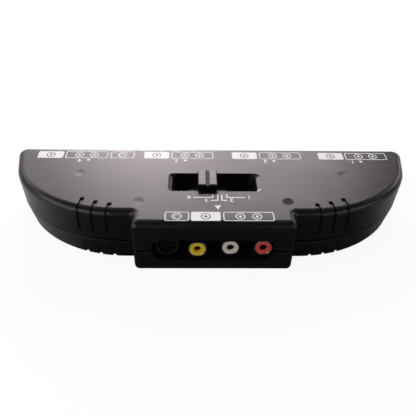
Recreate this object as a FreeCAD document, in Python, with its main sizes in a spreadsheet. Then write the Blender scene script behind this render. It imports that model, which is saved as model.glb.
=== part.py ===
import FreeCAD, Part
import math
import operator
import os
import Sketcher

# Audio video selector switch: a half-moon box with four sets of input sockets along its
# straight rear edge, one set of output sockets in a front box, and a four-way slide
# switch between them. Millimetres, +Z up, +X right, -Y the output side.
# The origin is on the table, below the middle of the overall plan.
DIMENSIONS = {
    # Half-moon shell, in plan and in height
    "shell_width": 204.6,
    "shell_depth": 56.2,
    "shell_height": 28.5,
    "parting_height": 12.0,
    "wall": 2.2,
    "front_arc_radius": 59.35,
    "front_arc_sweep": 48.3,
    "front_round_width": 53.9,
    "side_angle": 78.3,
    "rear_corner_radius": 5.0,
    "end_lean": 4.7,
    "belly": 1.1,
    "top_edge_radius": 3.4,
    "bottom_edge_radius": 2.4,
    # Output box on the front
    "front_box_width": 76.0,
    "front_box_lean": 0.7,
    "front_box_depth": 9.0,
    "front_box_corner_radius": 2.4,
    "front_box_root_radius": 1.2,
    # Socket recesses
    "jack_height": 12.7,
    "recess_height": 12.4,
    "recess_corner_radius": 5.0,
    "recess_depth": 10.3,
    "collar_wall": 1.6,
    "output_recess_half_width": 28.8,
    "input_recess_margin": 6.0,
    # Socket places along the straight rear edge and across the front box
    "input_pitch": 12.7,
    "input_4_share": -0.412,
    "input_3_share": -0.1417,
    "input_2_share": 0.0846,
    "input_1_share": 0.3084,
    "input_round_pitch": 12.0,
    "output_video_x": -7.6,
    "output_pitch": 15.4,
    "output_svideo_x": -21.8,
    "output_video_stand_out": 1.2,
    # Coaxial socket: nickel sleeve, coloured insert, spring contact and moulded block
    "sleeve_radius": 4.15,
    "sleeve_wall": 0.3,
    "sleeve_length": 8.3,
    "flange_radius": 5.1,
    "flange_thickness": 0.4,
    "insert_inset": 0.2,
    "insert_root": 3.0,
    "pin_hole_radius": 1.8,
    "pin_hole_depth": 1.4,
    "contact_half_width": 1.5,
    "contact_leaf": 0.35,
    "contact_height": 1.0,
    "contact_tail": 0.8,
    "jack_block_half_width": 5.9,
    "jack_block_taper": 2.0,
    "jack_block_rise": 6.1,
    "jack_block_depth": 5.6,
    # Four-pin round socket
    "round_face_length": 7.0,
    "round_nose_radius": 5.8,
    "round_shield_radius": 5.15,
    "round_shield_wall": 0.4,
    "round_core_radius": 4.0,
    "round_core_inset": 0.8,
    "round_hole_radius": 0.65,
    "round_contact_width": 0.8,
    "round_pin_circle": 2.4,
    "round_upper_pin_angle": 18.0,
    "round_lower_pin_angle": 60.0,
    "round_key_width": 2.6,
    "round_key_height": 1.2,
    # Circuit board, clamped between the bosses
    "board_height": 4.4,
    "board_thickness": 1.6,
    "board_end_inset": 10.5,
    "board_front_inset": 4.3,
    "board_shoulder_share": 0.303,
    "board_shoulder_inset": 9.5,
    "board_side_inset": 20.0,
    "board_hole_radius": 1.9,
    # Bosses and screws
    "front_boss_side_inset": 2.8,
    "front_boss_inset": 8.1,
    "rear_boss_share": 0.325,
    "rear_boss_inset": 24.7,
    "boss_radius": 3.4,
    "pilot_radius": 1.3,
    "pilot_depth": 9.0,
    "screw_hole_radius": 1.7,
    "head_pocket_radius": 3.0,
    "head_pocket_floor": 2.2,
    "screw_radius": 1.25,
    "screw_length": 9.0,
    "screw_head_radius": 2.6,
    "screw_head_height": 1.6,
    # Finger well round the selector, with sloping ends
    "well_centre_x": 0.8,
    "well_inset": 32.3,
    "well_half_length": 22.9,
    "well_half_width": 7.75,
    "well_depth": 6.6,
    "well_ramp_run": 2.0,
    "well_ramp_fall": 0.9,
    "well_end_run": 4.6,
    "well_corner_radius": 2.8,
    "well_floor_thickness": 1.6,
    # Selector knob, its skirt and the stem that drives it
    "position_pitch": 2.3,
    "knob_width": 9.4,
    "knob_depth": 12.9,
    "knob_rise": 2.9,
    "knob_edge_radius": 0.6,
    "knob_groove_width": 2.0,
    "knob_groove_depth": 0.7,
    "skirt_length": 19.2,
    "skirt_width": 13.6,
    "skirt_thickness": 0.9,
    "stem_width": 3.0,
    "stem_depth": 5.0,
    "stem_engagement": 5.0,
    # Slide switch on the board
    "switch_length": 45.0,
    "switch_width": 15.0,
    "switch_height": 8.6,
    "frame_sheet": 0.5,
    "base_thickness": 1.6,
    "slider_length": 35.0,
    "slider_lift": 0.45,
    "clip_height": 0.8,
    "clip_length": 3.4,
    "clip_width": 1.6,
    "pole_pitch": 13.0,
    "row_offset": 3.2,
    "pad_thickness": 0.15,
    "pad_length": 1.5,
    "detent_plunger_radius": 1.2,
    "detent_plunger_length": 2.4,
    "detent_nose_radius": 0.6,
    "detent_nose_length": 0.6,
    "detent_hole_radius": 0.8,
    "detent_spring_radius": 0.9,
    "detent_pocket_depth": 6.0,
    # Side grip grooves
    "groove_width": 2.0,
    "groove_depth": 0.85,
    "groove_base_depth": 0.45,
    "groove_direction": 8.0,
    "groove_first_angle": 3.4,
    "groove_base_first_angle": 1.9,
    "groove_step_angle": 6.65,
    "groove_run": 6.7,
    "groove_run_step": 0.9,
    "groove_stop": 3.6,
    # Clearances
    "fit_clearance": 0.05,
    "seat_clearance": 0.1,
    "slide_clearance": 0.3,
    "board_clearance": 0.4,
}
# Two coordinates closer than this are the same
SAME = 1e-4
# Straight steps that stand for a quarter turn in a groove's floor
BEND_STEPS = 4
PIECES = []


class Size:
    """A number with the spreadsheet formula that it comes from."""

    def __init__(self, value, formula):
        self.value = value
        self.formula = formula

    def __add__(self, other):
        return combine(self, "+", other)

    def __radd__(self, other):
        return combine(other, "+", self)

    def __sub__(self, other):
        return combine(self, "-", other)

    def __rsub__(self, other):
        return combine(other, "-", self)

    def __mul__(self, other):
        return combine(self, "*", other)

    def __rmul__(self, other):
        return combine(other, "*", self)

    def __truediv__(self, other):
        return combine(self, "/", other)

    def __neg__(self):
        return combine(0, "-", self)


OPERATIONS = {"+": operator.add, "-": operator.sub, "*": operator.mul, "/": operator.truediv}


def number(size):
    return size.value if isinstance(size, Size) else size


def formula(size):
    return size.formula if isinstance(size, Size) else str(size)


def combine(left, sign, right):
    value = OPERATIONS[sign](number(left), number(right))
    return Size(value, f"({formula(left)} {sign} {formula(right)})")


def sine(angle):
    return Size(math.sin(math.radians(number(angle))), f"sin({formula(angle)})")


def cosine(angle):
    return Size(math.cos(math.radians(number(angle))), f"cos({formula(angle)})")


def root(size):
    return Size(math.sqrt(number(size)), f"sqrt({formula(size)})")


doc = FreeCAD.newDocument("selector_switch")
sheet = doc.addObject("Spreadsheet::Sheet", "Sizes")
for row, (alias, value) in enumerate(DIMENSIONS.items(), start=1):
    sheet.set(f"A{row}", alias)
    sheet.set(f"B{row}", str(value))
    sheet.setAlias(f"B{row}", alias)
doc.recompute()


class Sheet:
    """Gives each cell of the sheet as a Size, by its alias."""

    def __getattr__(self, alias):
        return Size(DIMENSIONS[alias], f"Sizes.{alias}")


s = Sheet()

# Places worked out from the driving dimensions
rear_y = (s.shell_depth + s.front_box_depth) / 2
front_wall_y = rear_y - s.shell_depth
front_box_y = front_wall_y - s.front_box_depth
inner_top = s.shell_height - s.wall
board_top = s.board_height + s.board_thickness
output_floor_y = front_box_y + s.recess_depth
input_floor_y = rear_y - s.recess_depth
recess_half_height = s.recess_height / 2
well_floor = s.shell_height - s.well_depth
travel = s.position_pitch * 3
knob_x = s.well_centre_x - travel / 2
well_y = rear_y - s.well_inset
switch_top = board_top + s.switch_height
stem_top = well_floor + s.slide_clearance + s.skirt_thickness + s.stem_engagement
front_boss_x = s.front_box_width / 2 - s.front_boss_side_inset
front_boss_y = front_wall_y + s.front_boss_inset
rear_boss_x = s.shell_width * s.rear_boss_share
rear_boss_y = rear_y - s.rear_boss_inset
BOSSES = [
    (front_boss_x, front_boss_y),
    (-front_boss_x, front_boss_y),
    (rear_boss_x, rear_boss_y),
    (-rear_boss_x, rear_boss_y),
]
INPUTS = {
    "input_1": s.shell_width * s.input_1_share,
    "input_2": s.shell_width * s.input_2_share,
    "input_3": s.shell_width * s.input_3_share,
    "input_4": s.shell_width * s.input_4_share,
}
input_round_x = INPUTS["input_4"] + s.input_pitch * 2 + s.input_round_pitch


# Binding and sketching


def bind(target, prop, size):
    if isinstance(size, Size):
        target.setExpression(prop, size.formula)


def move(target, x, y, z, rotation=None):
    spot = FreeCAD.Vector(number(x), number(y), number(z))
    target.Placement = FreeCAD.Placement(spot, rotation or FreeCAD.Rotation())
    bind(target, "Placement.Base.x", x)
    bind(target, "Placement.Base.y", y)
    bind(target, "Placement.Base.z", z)


def new_body(name):
    body = doc.addObject("PartDesign::Body", name)
    body.Label = name
    PIECES.append(body)
    return body


def new_sketch(body, role, height=0):
    """A sketch on one of the body's own origin planes, raised along its normal."""
    planes = [item for item in body.Origin.OriginFeatures if item.Role == role]
    sketch = body.newObject("Sketcher::SketchObject", body.Name + "_sketch")
    sketch.AttachmentSupport = [(planes[0], "")]
    sketch.MapMode = "FlatFace"
    offset = FreeCAD.Vector(0, 0, number(height))
    sketch.AttachmentOffset = FreeCAD.Placement(offset, FreeCAD.Rotation())
    bind(sketch, "AttachmentOffset.Base.z", height)
    return sketch


def fix(sketch, kind, *values):
    """Adds a constraint whose last value may be a bound size."""
    size = values[-1]
    index = sketch.addConstraint(Sketcher.Constraint(kind, *values[:-1], number(size)))
    bind(sketch, f"Constraints[{index}]", size)


def fix_point(sketch, piece, end, x, y):
    """Ties an end of a line, or a centre, to the sketch's origin."""
    for kind, axis, size in (("DistanceX", -2, x), ("DistanceY", -1, y)):
        if number(size) == 0:
            sketch.addConstraint(Sketcher.Constraint("PointOnObject", piece, end, axis))
        else:
            fix(sketch, kind, -1, 1, piece, end, size)


def add_polygon(sketch, points):
    """A closed outline of straight lines, every corner tied to the origin."""
    corners = [FreeCAD.Vector(number(x), number(y), 0) for x, y in points]
    first = sketch.GeometryCount
    count = len(corners)
    for index in range(count):
        sketch.addGeometry(Part.LineSegment(corners[index], corners[(index + 1) % count]))
    for index, (x, y) in enumerate(points):
        before = first + (index - 1) % count
        sketch.addConstraint(Sketcher.Constraint("Coincident", before, 2, first + index, 1))
        fix_point(sketch, first + index, 1, x, y)


def add_rectangle(sketch, left, right, low, high):
    add_polygon(sketch, [(left, low), (right, low), (right, high), (left, high)])


def add_centred(sketch, x, y, length, width):
    """A rectangle by its middle and its two sides."""
    add_rectangle(sketch, x - length / 2, x + length / 2, y - width / 2, y + width / 2)


def add_circle(sketch, x, y, radius):
    centre = FreeCAD.Vector(number(x), number(y), 0)
    piece = sketch.addGeometry(Part.Circle(centre, FreeCAD.Vector(0, 0, 1), number(radius)))
    fix(sketch, "Radius", piece, radius)
    fix_point(sketch, piece, 3, x, y)


def corner_arc(x, y, radius, start):
    circle = Part.Circle(FreeCAD.Vector(x, y, 0), FreeCAD.Vector(0, 0, 1), radius)
    return Part.ArcOfCircle(circle, math.radians(start), math.radians(start + 90))


def add_rounded(sketch, left, right, low, high, radius, low_corners=True):
    """A rectangle with rounded corners, or only its two high corners rounded."""
    x0, x1, y0, y1, r = [number(size) for size in (left, right, low, high, radius)]
    high_first = y1 > y0
    lift = r if high_first else -r
    if low_corners:
        ends = [(x0 + r, y0, x1 - r, y0), (x1, y0 + r, x1, y1 - r)]
        ends += [(x1 - r, y1, x0 + r, y1), (x0, y1 - r, x0, y0 + r)]
        arcs = [(x1 - r, y0 + r, 270), (x1 - r, y1 - r, 0), (x0 + r, y1 - r, 90), (x0 + r, y0 + r, 180)]
    else:
        ends = [(x0, y0, x1, y0), (x1, y0, x1, y1 - lift)]
        ends += [(x1 - r, y1, x0 + r, y1), (x0, y1 - lift, x0, y0)]
        start = (0, 90) if high_first else (270, 180)
        arcs = [(x1 - r, y1 - lift, start[0]), (x0 + r, y1 - lift, start[1])]
    lines = []
    for ax, ay, bx, by in ends:
        segment = Part.LineSegment(FreeCAD.Vector(ax, ay, 0), FreeCAD.Vector(bx, by, 0))
        lines.append(sketch.addGeometry(segment))
    rounds = [sketch.addGeometry(corner_arc(x, y, r, start)) for x, y, start in arcs]
    near, far = (1, 2) if high_first else (2, 1)
    if low_corners:
        for index in range(4):
            following = lines[(index + 1) % 4]
            sketch.addConstraint(Sketcher.Constraint("Tangent", lines[index], 2, rounds[index], 1))
            sketch.addConstraint(Sketcher.Constraint("Tangent", rounds[index], 2, following, 1))
    else:
        sketch.addConstraint(Sketcher.Constraint("Coincident", lines[0], 2, lines[1], 1))
        sketch.addConstraint(Sketcher.Constraint("Coincident", lines[3], 2, lines[0], 1))
        for index in range(2):
            before, following = lines[index + 1], lines[index + 2]
            sketch.addConstraint(Sketcher.Constraint("Tangent", before, 2, rounds[index], near))
            sketch.addConstraint(Sketcher.Constraint("Tangent", rounds[index], far, following, 1))
    for index, kind in enumerate(("Horizontal", "Vertical", "Horizontal", "Vertical")):
        sketch.addConstraint(Sketcher.Constraint(kind, lines[index]))
    for arc in rounds[1:]:
        sketch.addConstraint(Sketcher.Constraint("Equal", rounds[0], arc))
    fix(sketch, "Radius", rounds[0], radius)
    fix(sketch, "DistanceY", -1, 1, lines[0], 1, low)
    fix(sketch, "DistanceX", -1, 1, lines[1], 1, right)
    fix(sketch, "DistanceY", -1, 1, lines[2], 1, high)
    fix(sketch, "DistanceX", -1, 1, lines[3], 1, left)


# The half-moon plan: a straight front, two arcs a side that tighten towards the flanks,
# straight raked sides and rounded rear corners

corner_reach = s.rear_corner_radius * ((1 + cosine(s.side_angle)) / sine(s.side_angle) - 1)
plan_half_width = s.shell_width / 2 + corner_reach
flank_arc_radius = s.front_round_width - s.front_arc_radius * sine(s.front_arc_sweep)
flank_arc_radius = flank_arc_radius / (sine(s.side_angle) - sine(s.front_arc_sweep))
arcs_depth = s.front_arc_radius * (1 - cosine(s.front_arc_sweep))
arcs_depth = arcs_depth + flank_arc_radius * (cosine(s.front_arc_sweep) - cosine(s.side_angle))
side_length = (s.shell_depth - arcs_depth) / sine(s.side_angle)
front_half = plan_half_width - s.front_round_width - side_length * cosine(s.side_angle)
radius_step = s.front_arc_radius - flank_arc_radius
flank_centre_x = front_half + radius_step * sine(s.front_arc_sweep)
flank_centre_y = front_wall_y + s.front_arc_radius - radius_step * cosine(s.front_arc_sweep)


def end_inset(height):
    """How far each half of the plan stands in at a height: the ends lean inwards downwards."""
    return s.end_lean * (s.shell_height - height) / s.shell_height


def belly_at(height):
    """How far the front and the flanks stand out at a height: most at the parting line."""
    if number(height) > s.parting_height.value:
        return s.belly * (s.shell_height - height) / (s.shell_height - s.parting_height)
    return s.belly * height / s.parting_height


def add_half_moon(sketch, height, inset=0):
    """The plan outline at a height, offset inwards by inset."""
    bulge = belly_at(height)
    up = FreeCAD.Vector(0, 0, 1)
    sweep, side = math.radians(s.front_arc_sweep.value), math.radians(s.side_angle.value)
    front_radius = s.front_arc_radius - inset + bulge
    flank_radius = flank_arc_radius - inset + bulge
    corner_radius = s.rear_corner_radius - inset
    front_y = front_wall_y + inset - bulge
    back_y = rear_y - inset
    corner_y = (rear_y - s.rear_corner_radius).value
    rake = s.rear_corner_radius.value / math.tan(side)
    narrow = end_inset(height)
    half = front_half - narrow
    flank_x = flank_centre_x - narrow
    corner_inset = (s.rear_corner_radius - bulge).value / math.sin(side)
    corner_x = (plan_half_width - narrow).value - rake - corner_inset
    flank_end_x = flank_x.value + flank_radius.value * math.sin(side)
    flank_end_y = flank_centre_y.value - flank_radius.value * math.cos(side)
    corner_start_x = corner_x + corner_radius.value * math.sin(side)
    corner_start_y = corner_y - corner_radius.value * math.cos(side)
    front_centre_y = (front_wall_y + s.front_arc_radius).value

    def arc(x, y, radius, start, end):
        circle = Part.Circle(FreeCAD.Vector(x, y, 0), up, radius.value)
        return sketch.addGeometry(Part.ArcOfCircle(circle, start, end))

    def line(x0, y0, x1, y1):
        segment = Part.LineSegment(FreeCAD.Vector(x0, y0, 0), FreeCAD.Vector(x1, y1, 0))
        return sketch.addGeometry(segment)

    down, back_up = -math.pi / 2, math.pi / 2
    front = line(-half.value, front_y.value, half.value, front_y.value)
    right = [
        arc(half.value, front_centre_y, front_radius, down, down + sweep),
        arc(flank_x.value, flank_centre_y.value, flank_radius, down + sweep, down + side),
        line(flank_end_x, flank_end_y, corner_start_x, corner_start_y),
        arc(corner_x, corner_y, corner_radius, down + side, back_up),
    ]
    back = line(corner_x, back_y.value, -corner_x, back_y.value)
    left = [
        arc(-half.value, front_centre_y, front_radius, down - sweep, down),
        arc(-flank_x.value, flank_centre_y.value, flank_radius, down - side, down - sweep),
        line(-corner_start_x, corner_start_y, -flank_end_x, flank_end_y),
        arc(-corner_x, corner_y, corner_radius, back_up, back_up + math.pi - side),
    ]
    chain = [front] + right + [back]
    for before, following in zip(chain, chain[1:]):
        sketch.addConstraint(Sketcher.Constraint("Tangent", before, 2, following, 1))
    chain = [back] + left[::-1] + [front]
    for before, following in zip(chain, chain[1:]):
        sketch.addConstraint(Sketcher.Constraint("Coincident", before, 2, following, 1))
    for index in (0, 1, 3):
        sketch.addConstraint(Sketcher.Constraint("Equal", right[index], left[index]))
    for line_piece in (front, back):
        sketch.addConstraint(Sketcher.Constraint("Symmetric", line_piece, 1, line_piece, 2, -2))
    for index in (0, 1, 2):
        mirror = (right[index], 2, left[index], 1, -2)
        sketch.addConstraint(Sketcher.Constraint("Symmetric", *mirror))
    fix(sketch, "Radius", right[0], front_radius)
    fix(sketch, "Radius", right[1], flank_radius)
    fix(sketch, "Radius", right[3], corner_radius)
    fix(sketch, "DistanceY", -1, 1, front, 1, front_y)
    fix(sketch, "DistanceY", -1, 1, back, 1, back_y)
    fix(sketch, "DistanceX", -1, 1, front, 2, half)
    fix(sketch, "DistanceX", -1, 1, right[0], 2, half + front_radius * sine(s.front_arc_sweep))
    fix(sketch, "DistanceX", -1, 1, right[1], 2, flank_x + flank_radius * sine(s.side_angle))


# Features on a body


def pad(body, sketch, length, reverse=False):
    feature = body.newObject("PartDesign::Pad", body.Name + "_pad")
    feature.Profile = sketch
    feature.Length = number(length)
    bind(feature, "Length", length)
    feature.Reversed = reverse
    return finish(feature)


def pocket(body, sketch, length, reverse=False, both=False):
    before = body.Shape.Volume
    feature = body.newObject("PartDesign::Pocket", body.Name + "_pocket")
    feature.Profile = sketch
    feature.Length = number(length)
    bind(feature, "Length", length)
    feature.Reversed = reverse
    feature.Midplane = both
    finish(feature)
    if body.Shape.Volume > before - SAME:
        raise RuntimeError(f"{feature.Name} cuts nothing")
    return feature


def finish(feature):
    doc.recompute()
    if "Invalid" in feature.State or "Error" in feature.State:
        raise RuntimeError(f"{feature.Name} failed: {feature.getStatusString()}")
    return feature


def revolve(body, points):
    """Turns a profile of (radius, height) points about the body's Z axis."""
    sketch = new_sketch(body, "XZ_Plane")
    add_polygon(sketch, points)
    feature = body.newObject("PartDesign::Revolution", body.Name + "_turned")
    feature.Profile = sketch
    feature.ReferenceAxis = (sketch, ["V_Axis"])
    feature.Angle = 360
    return finish(feature)


def repeat(body, features, spacing, count):
    """Copies features along the body's X axis, as separate solids."""
    body.AllowCompound = True
    axes = [item for item in body.Origin.OriginFeatures if item.Role == "X_Axis"]
    pattern = body.newObject("PartDesign::LinearPattern", body.Name + "_row")
    pattern.Originals = features
    pattern.Direction = (axes[0], [""])
    pattern.Length = number(spacing * (count - 1))
    bind(pattern, "Length", spacing * (count - 1))
    pattern.Occurrences = count
    body.Tip = pattern
    return finish(pattern)


def edges(shape, wanted):
    """The names of the edges whose middle point passes a test."""
    names = []
    for index, edge in enumerate(shape.Edges, start=1):
        middle = edge.valueAt((edge.FirstParameter + edge.LastParameter) / 2)
        if wanted(middle, edge):
            names.append(f"Edge{index}")
    return names


def fillet(body, radius, wanted):
    base = body.Tip
    feature = body.newObject("PartDesign::Fillet", body.Name + "_fillet")
    feature.Base = (base, edges(base.Shape, wanted))
    feature.Radius = number(radius)
    bind(feature, "Radius", radius)
    return finish(feature)


def loft(body, sketches, cut=False):
    """A ruled solid between outlines, added to the body or cut from it."""
    before = body.Shape.Volume if body.Tip else 0
    kind = "SubtractiveLoft" if cut else "AdditiveLoft"
    feature = body.newObject("PartDesign::" + kind, body.Name + "_loft")
    feature.Profile = sketches[0]
    feature.Sections = sketches[1:]
    feature.Ruled = True
    finish(feature)
    if (body.Shape.Volume < before) != cut:
        raise RuntimeError(f"{feature.Name} changes the body the wrong way")
    return feature


def loft_plan(body, base, height, inset=0, cut=False):
    """The half-moon between two heights, added to the body or cut from it."""
    sketches = []
    for level in (base, base + height):
        sketches.append(new_sketch(body, "XY_Plane", level))
        add_half_moon(sketches[-1], level, inset)
    return loft(body, sketches, cut)


def is_steep(edge):
    ends = [vertex.Point for vertex in edge.Vertexes]
    if len(ends) < 2:
        return False
    rise = ends[1] - ends[0]
    return abs(rise.z) > math.hypot(rise.x, rise.y)


# Housing shells: shared features of the upper and the lower half


def recess_spans():
    """Centre and half width of every socket recess: the output first, then the inputs."""
    spans = [(0, s.output_recess_half_width, "front")]
    for name, video_x in INPUTS.items():
        left = video_x - s.input_recess_margin
        right = video_x + s.input_pitch * 2 + s.input_recess_margin
        if name == "input_4":
            right = input_round_x + s.input_recess_margin
        spans.append(((left + right) / 2, (right - left) / 2, "rear"))
    return spans


def add_recess(sketch, centre, half_width, edge_height, grow):
    """Half a socket recess, from the parting line up or down to edge_height."""
    left = centre - half_width - grow
    right = centre + half_width + grow
    radius = s.recess_corner_radius + grow
    add_rounded(sketch, left, right, s.parting_height, edge_height, radius, low_corners=False)


def make_shell(name, base, height, inner_base, inner_height, recess_edge, outward):
    """The plan, the output box, rounded edges, the hollow and the recess collars."""
    body = new_body(name)
    loft_plan(body, base, height)
    sketches = []
    for level in (base, base + height):
        half = s.front_box_width / 2 - s.front_box_lean * (s.shell_height - level) / s.shell_height
        sketches.append(new_sketch(body, "XY_Plane", level))
        add_rectangle(sketches[-1], -half, half, front_box_y, front_wall_y + s.wall * 2)
    loft(body, sketches)

    def at_corner(middle, edge):
        return abs(middle.y - front_box_y.value) < SAME and is_steep(edge)

    def at_root(middle, edge):
        beside = abs(abs(middle.x) - s.front_box_width.value / 2) < s.front_box_lean.value + SAME
        return beside and abs(middle.y - front_wall_y.value) < s.wall.value and is_steep(edge)

    fillet(body, s.front_box_corner_radius, at_corner)
    fillet(body, s.front_box_root_radius, at_root)
    rim = s.shell_height.value if outward > 0 else 0
    radius = s.top_edge_radius if outward > 0 else s.bottom_edge_radius
    fillet(body, radius, lambda middle, edge: abs(middle.z - rim) < SAME)

    loft_plan(body, inner_base, inner_height, s.wall, cut=True)
    sketch = new_sketch(body, "XY_Plane", inner_base)
    half = s.front_box_width / 2 - s.front_box_lean - s.wall
    add_rectangle(sketch, -half, half, front_box_y + s.wall, front_wall_y + s.wall * 2)
    pocket(body, sketch, inner_height, reverse=True)

    for centre, half_width, side in recess_spans():
        face = -front_box_y if side == "front" else -rear_y
        inward = side == "front"
        wall_inside = face - s.wall if inward else face + s.wall
        sketch = new_sketch(body, "XZ_Plane", wall_inside)
        add_recess(sketch, centre, half_width, recess_edge + s.collar_wall * outward, s.collar_wall)
        pad(body, sketch, s.recess_depth - s.wall, reverse=inward)
        sketch = new_sketch(body, "XZ_Plane", face)
        add_recess(sketch, centre, half_width, recess_edge, 0)
        pocket(body, sketch, s.recess_depth, reverse=not inward)
    return body


def add_grooves(body, rim, stop, first_angle, depth, bend, outward):
    """Grip grooves over the rounded rim and along the leaning wall, mirrored on the other side."""
    for index in range(3):
        angle = first_angle + s.groove_step_angle * index
        run = s.groove_run + s.groove_run_step * index
        wall_x = front_half + s.front_arc_radius * sine(angle)
        wall_y = front_wall_y + s.front_arc_radius * (1 - cosine(angle))
        depth_at_rim, depth_at_stop = (
            depth + end_inset(height) * sine(angle) - belly_at(height) for height in (rim, stop)
        )
        floor = rim - depth * outward
        points = [(run, rim + bend * outward), (run, floor)]
        for step in range(BEND_STEPS + 1):
            swing = math.pi / 2 * step / BEND_STEPS
            reach = depth_at_rim + bend * (1 - math.sin(swing))
            points.append((reach, floor - bend * (1 - math.cos(swing)) * outward))
        points += [
            (depth_at_stop, stop),
            (-run, stop),
            (-run, rim + bend * outward),
        ]
        for side in (1, -1):
            sketch = new_sketch(body, "YZ_Plane")
            turn = FreeCAD.Rotation(FreeCAD.Vector(0, side, 0), s.groove_direction.value)
            spot = FreeCAD.Vector(wall_y.value, 0, side * wall_x.value)
            sketch.AttachmentOffset = FreeCAD.Placement(spot, turn)
            bind(sketch, "AttachmentOffset.Base.x", wall_y)
            bind(sketch, "AttachmentOffset.Base.z", side * wall_x)
            bind(sketch, "AttachmentOffset.Rotation.Angle", s.groove_direction)
            add_polygon(sketch, points)
            pocket(body, sketch, s.groove_width, both=True)


def drill(body, places, radius, height, depth, up):
    sketch = new_sketch(body, "XY_Plane", height)
    for x, y in places:
        add_circle(sketch, x, y, radius)
    pocket(body, sketch, depth, reverse=up)


def raise_posts(body, places, radius, height, length):
    sketch = new_sketch(body, "XY_Plane", height)
    for x, y in places:
        add_circle(sketch, x, y, radius)
    pad(body, sketch, length)


# Upper shell, with the finger well and the screw bosses hanging from its roof

top_shell = make_shell(
    "top_shell",
    s.parting_height,
    s.shell_height - s.parting_height,
    s.parting_height,
    inner_top - s.parting_height,
    s.jack_height + recess_half_height,
    1,
)
well_left = s.well_centre_x - s.well_half_length
well_right = s.well_centre_x + s.well_half_length
well_low = well_y - s.well_half_width
well_high = well_y + s.well_half_width
rim_height = s.shell_height - s.wall / 2
ramp_foot = (s.shell_height - s.well_ramp_fall, s.well_ramp_run)
lining = s.well_floor_thickness
well_base = well_floor - lining
for cut, grow, levels in (
    (False, lining, ((rim_height, s.well_ramp_run), (well_base, s.well_end_run))),
    (True, 0, ((s.shell_height, 0), ramp_foot, (well_floor, s.well_end_run))),
):
    sketches = []
    for level, run in levels:
        sketches.append(new_sketch(top_shell, "XY_Plane", level))
        left, right = well_left + run - grow, well_right - run + grow
        low, high = well_low - grow, well_high + grow
        add_rounded(sketches[-1], left, right, low, high, s.well_corner_radius + grow)
    loft(top_shell, sketches, cut)
slot_half = s.stem_width / 2 + travel / 2 + s.slide_clearance
slot_depth = s.stem_depth / 2 + s.slide_clearance
sketch = new_sketch(top_shell, "XY_Plane", well_floor)
add_centred(sketch, s.well_centre_x, well_y, slot_half * 2, slot_depth * 2)
pocket(top_shell, sketch, lining)
raise_posts(top_shell, BOSSES, s.boss_radius, board_top, inner_top - board_top)
drill(top_shell, BOSSES, s.pilot_radius, board_top, s.pilot_depth, up=True)
stop = s.parting_height + s.groove_stop
first, depth = s.groove_first_angle, s.groove_depth
add_grooves(top_shell, s.shell_height, stop, first, depth, s.top_edge_radius, 1)

# Lower shell, with the bosses that the screws pass through

bottom_shell = make_shell(
    "bottom_shell",
    0,
    s.parting_height,
    s.wall,
    s.parting_height - s.wall,
    s.jack_height - recess_half_height,
    -1,
)
raise_posts(bottom_shell, BOSSES, s.boss_radius + s.collar_wall, 0, s.board_height)
drill(bottom_shell, BOSSES, s.screw_hole_radius, 0, s.board_height, up=True)
drill(bottom_shell, BOSSES, s.head_pocket_radius, 0, s.head_pocket_floor, up=True)
stop = s.parting_height - s.groove_stop
first, depth = s.groove_base_first_angle, s.groove_base_depth
add_grooves(bottom_shell, 0, stop, first, depth, s.bottom_edge_radius, -1)

# Circuit board, clamped between the bosses of the two shells

board_front_y = output_floor_y + s.board_clearance
board_rear_y = input_floor_y - s.board_clearance
board_side_y = rear_y - s.board_side_inset
board_shoulder_y = front_wall_y + s.board_shoulder_inset
board_end_x = s.shell_width / 2 - s.board_end_inset
board_half = [
    (s.front_box_width / 2 - s.board_front_inset, board_front_y),
    (s.shell_width * s.board_shoulder_share, board_shoulder_y),
    (board_end_x, board_side_y),
    (board_end_x, board_rear_y),
]
main_board = new_body("main_board")
sketch = new_sketch(main_board, "XY_Plane", s.board_height)
add_polygon(sketch, board_half + [(-x, y) for x, y in reversed(board_half)])
pad(main_board, sketch, s.board_thickness)
drill(main_board, BOSSES, s.board_hole_radius, board_top, s.board_thickness, up=False)


# Small pieces as primitives


def make_box(name, x, y, z, length, width, height):
    """A block by the middle of its base and its three sides."""
    block = doc.addObject("Part::Box", name)
    for prop, size in (("Length", length), ("Width", width), ("Height", height)):
        setattr(block, prop, number(size))
        bind(block, prop, size)
    move(block, x - length / 2, y - width / 2, z)
    return block


def make_cylinder(name, x, y, z, radius, height):
    rod = doc.addObject("Part::Cylinder", name)
    rod.Radius = number(radius)
    rod.Height = number(height)
    bind(rod, "Radius", radius)
    bind(rod, "Height", height)
    move(rod, x, y, z)
    return rod


def group(name, pieces):
    """Separate solids kept under one name."""
    bundle = doc.addObject("Part::Compound", name)
    bundle.Label = name
    bundle.Links = pieces
    PIECES.append(bundle)
    return bundle


# Housing screws, driven from below through the board into the upper bosses

screws = []
for index, (x, y) in enumerate(BOSSES, start=1):
    seat = s.head_pocket_floor
    head = make_cylinder(f"screw_head_{index}", x, y, seat - s.screw_head_height,
                         s.screw_head_radius, s.screw_head_height)
    shank = make_cylinder(f"screw_shank_{index}", x, y, seat, s.screw_radius, s.screw_length)
    screw = doc.addObject("Part::MultiFuse", f"screw_{index}")
    screw.Shapes = [head, shank]
    screws.append(screw)
group("housing_screws", screws)

# Coaxial sockets: each is turned about its own axis, with its mouth along +Z and the
# floor of the recess at zero, and is then laid down to face the front or the rear

sleeve_bore = s.sleeve_radius - s.sleeve_wall
insert_radius = sleeve_bore - s.fit_clearance
contact_back = -s.jack_block_depth - s.contact_tail
axis_drop = s.jack_height - board_top


def face_out(piece, x, floor_y, side):
    """Lays a piece down so that its mouth faces the front or the rear of the box."""
    turn = FreeCAD.Rotation(FreeCAD.Vector(1, 0, 0), 90)
    if side == "rear":
        turn = FreeCAD.Rotation(FreeCAD.Vector(0, 0, 1), 180) * turn
    move(piece, x, floor_y, s.jack_height, turn)


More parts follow.
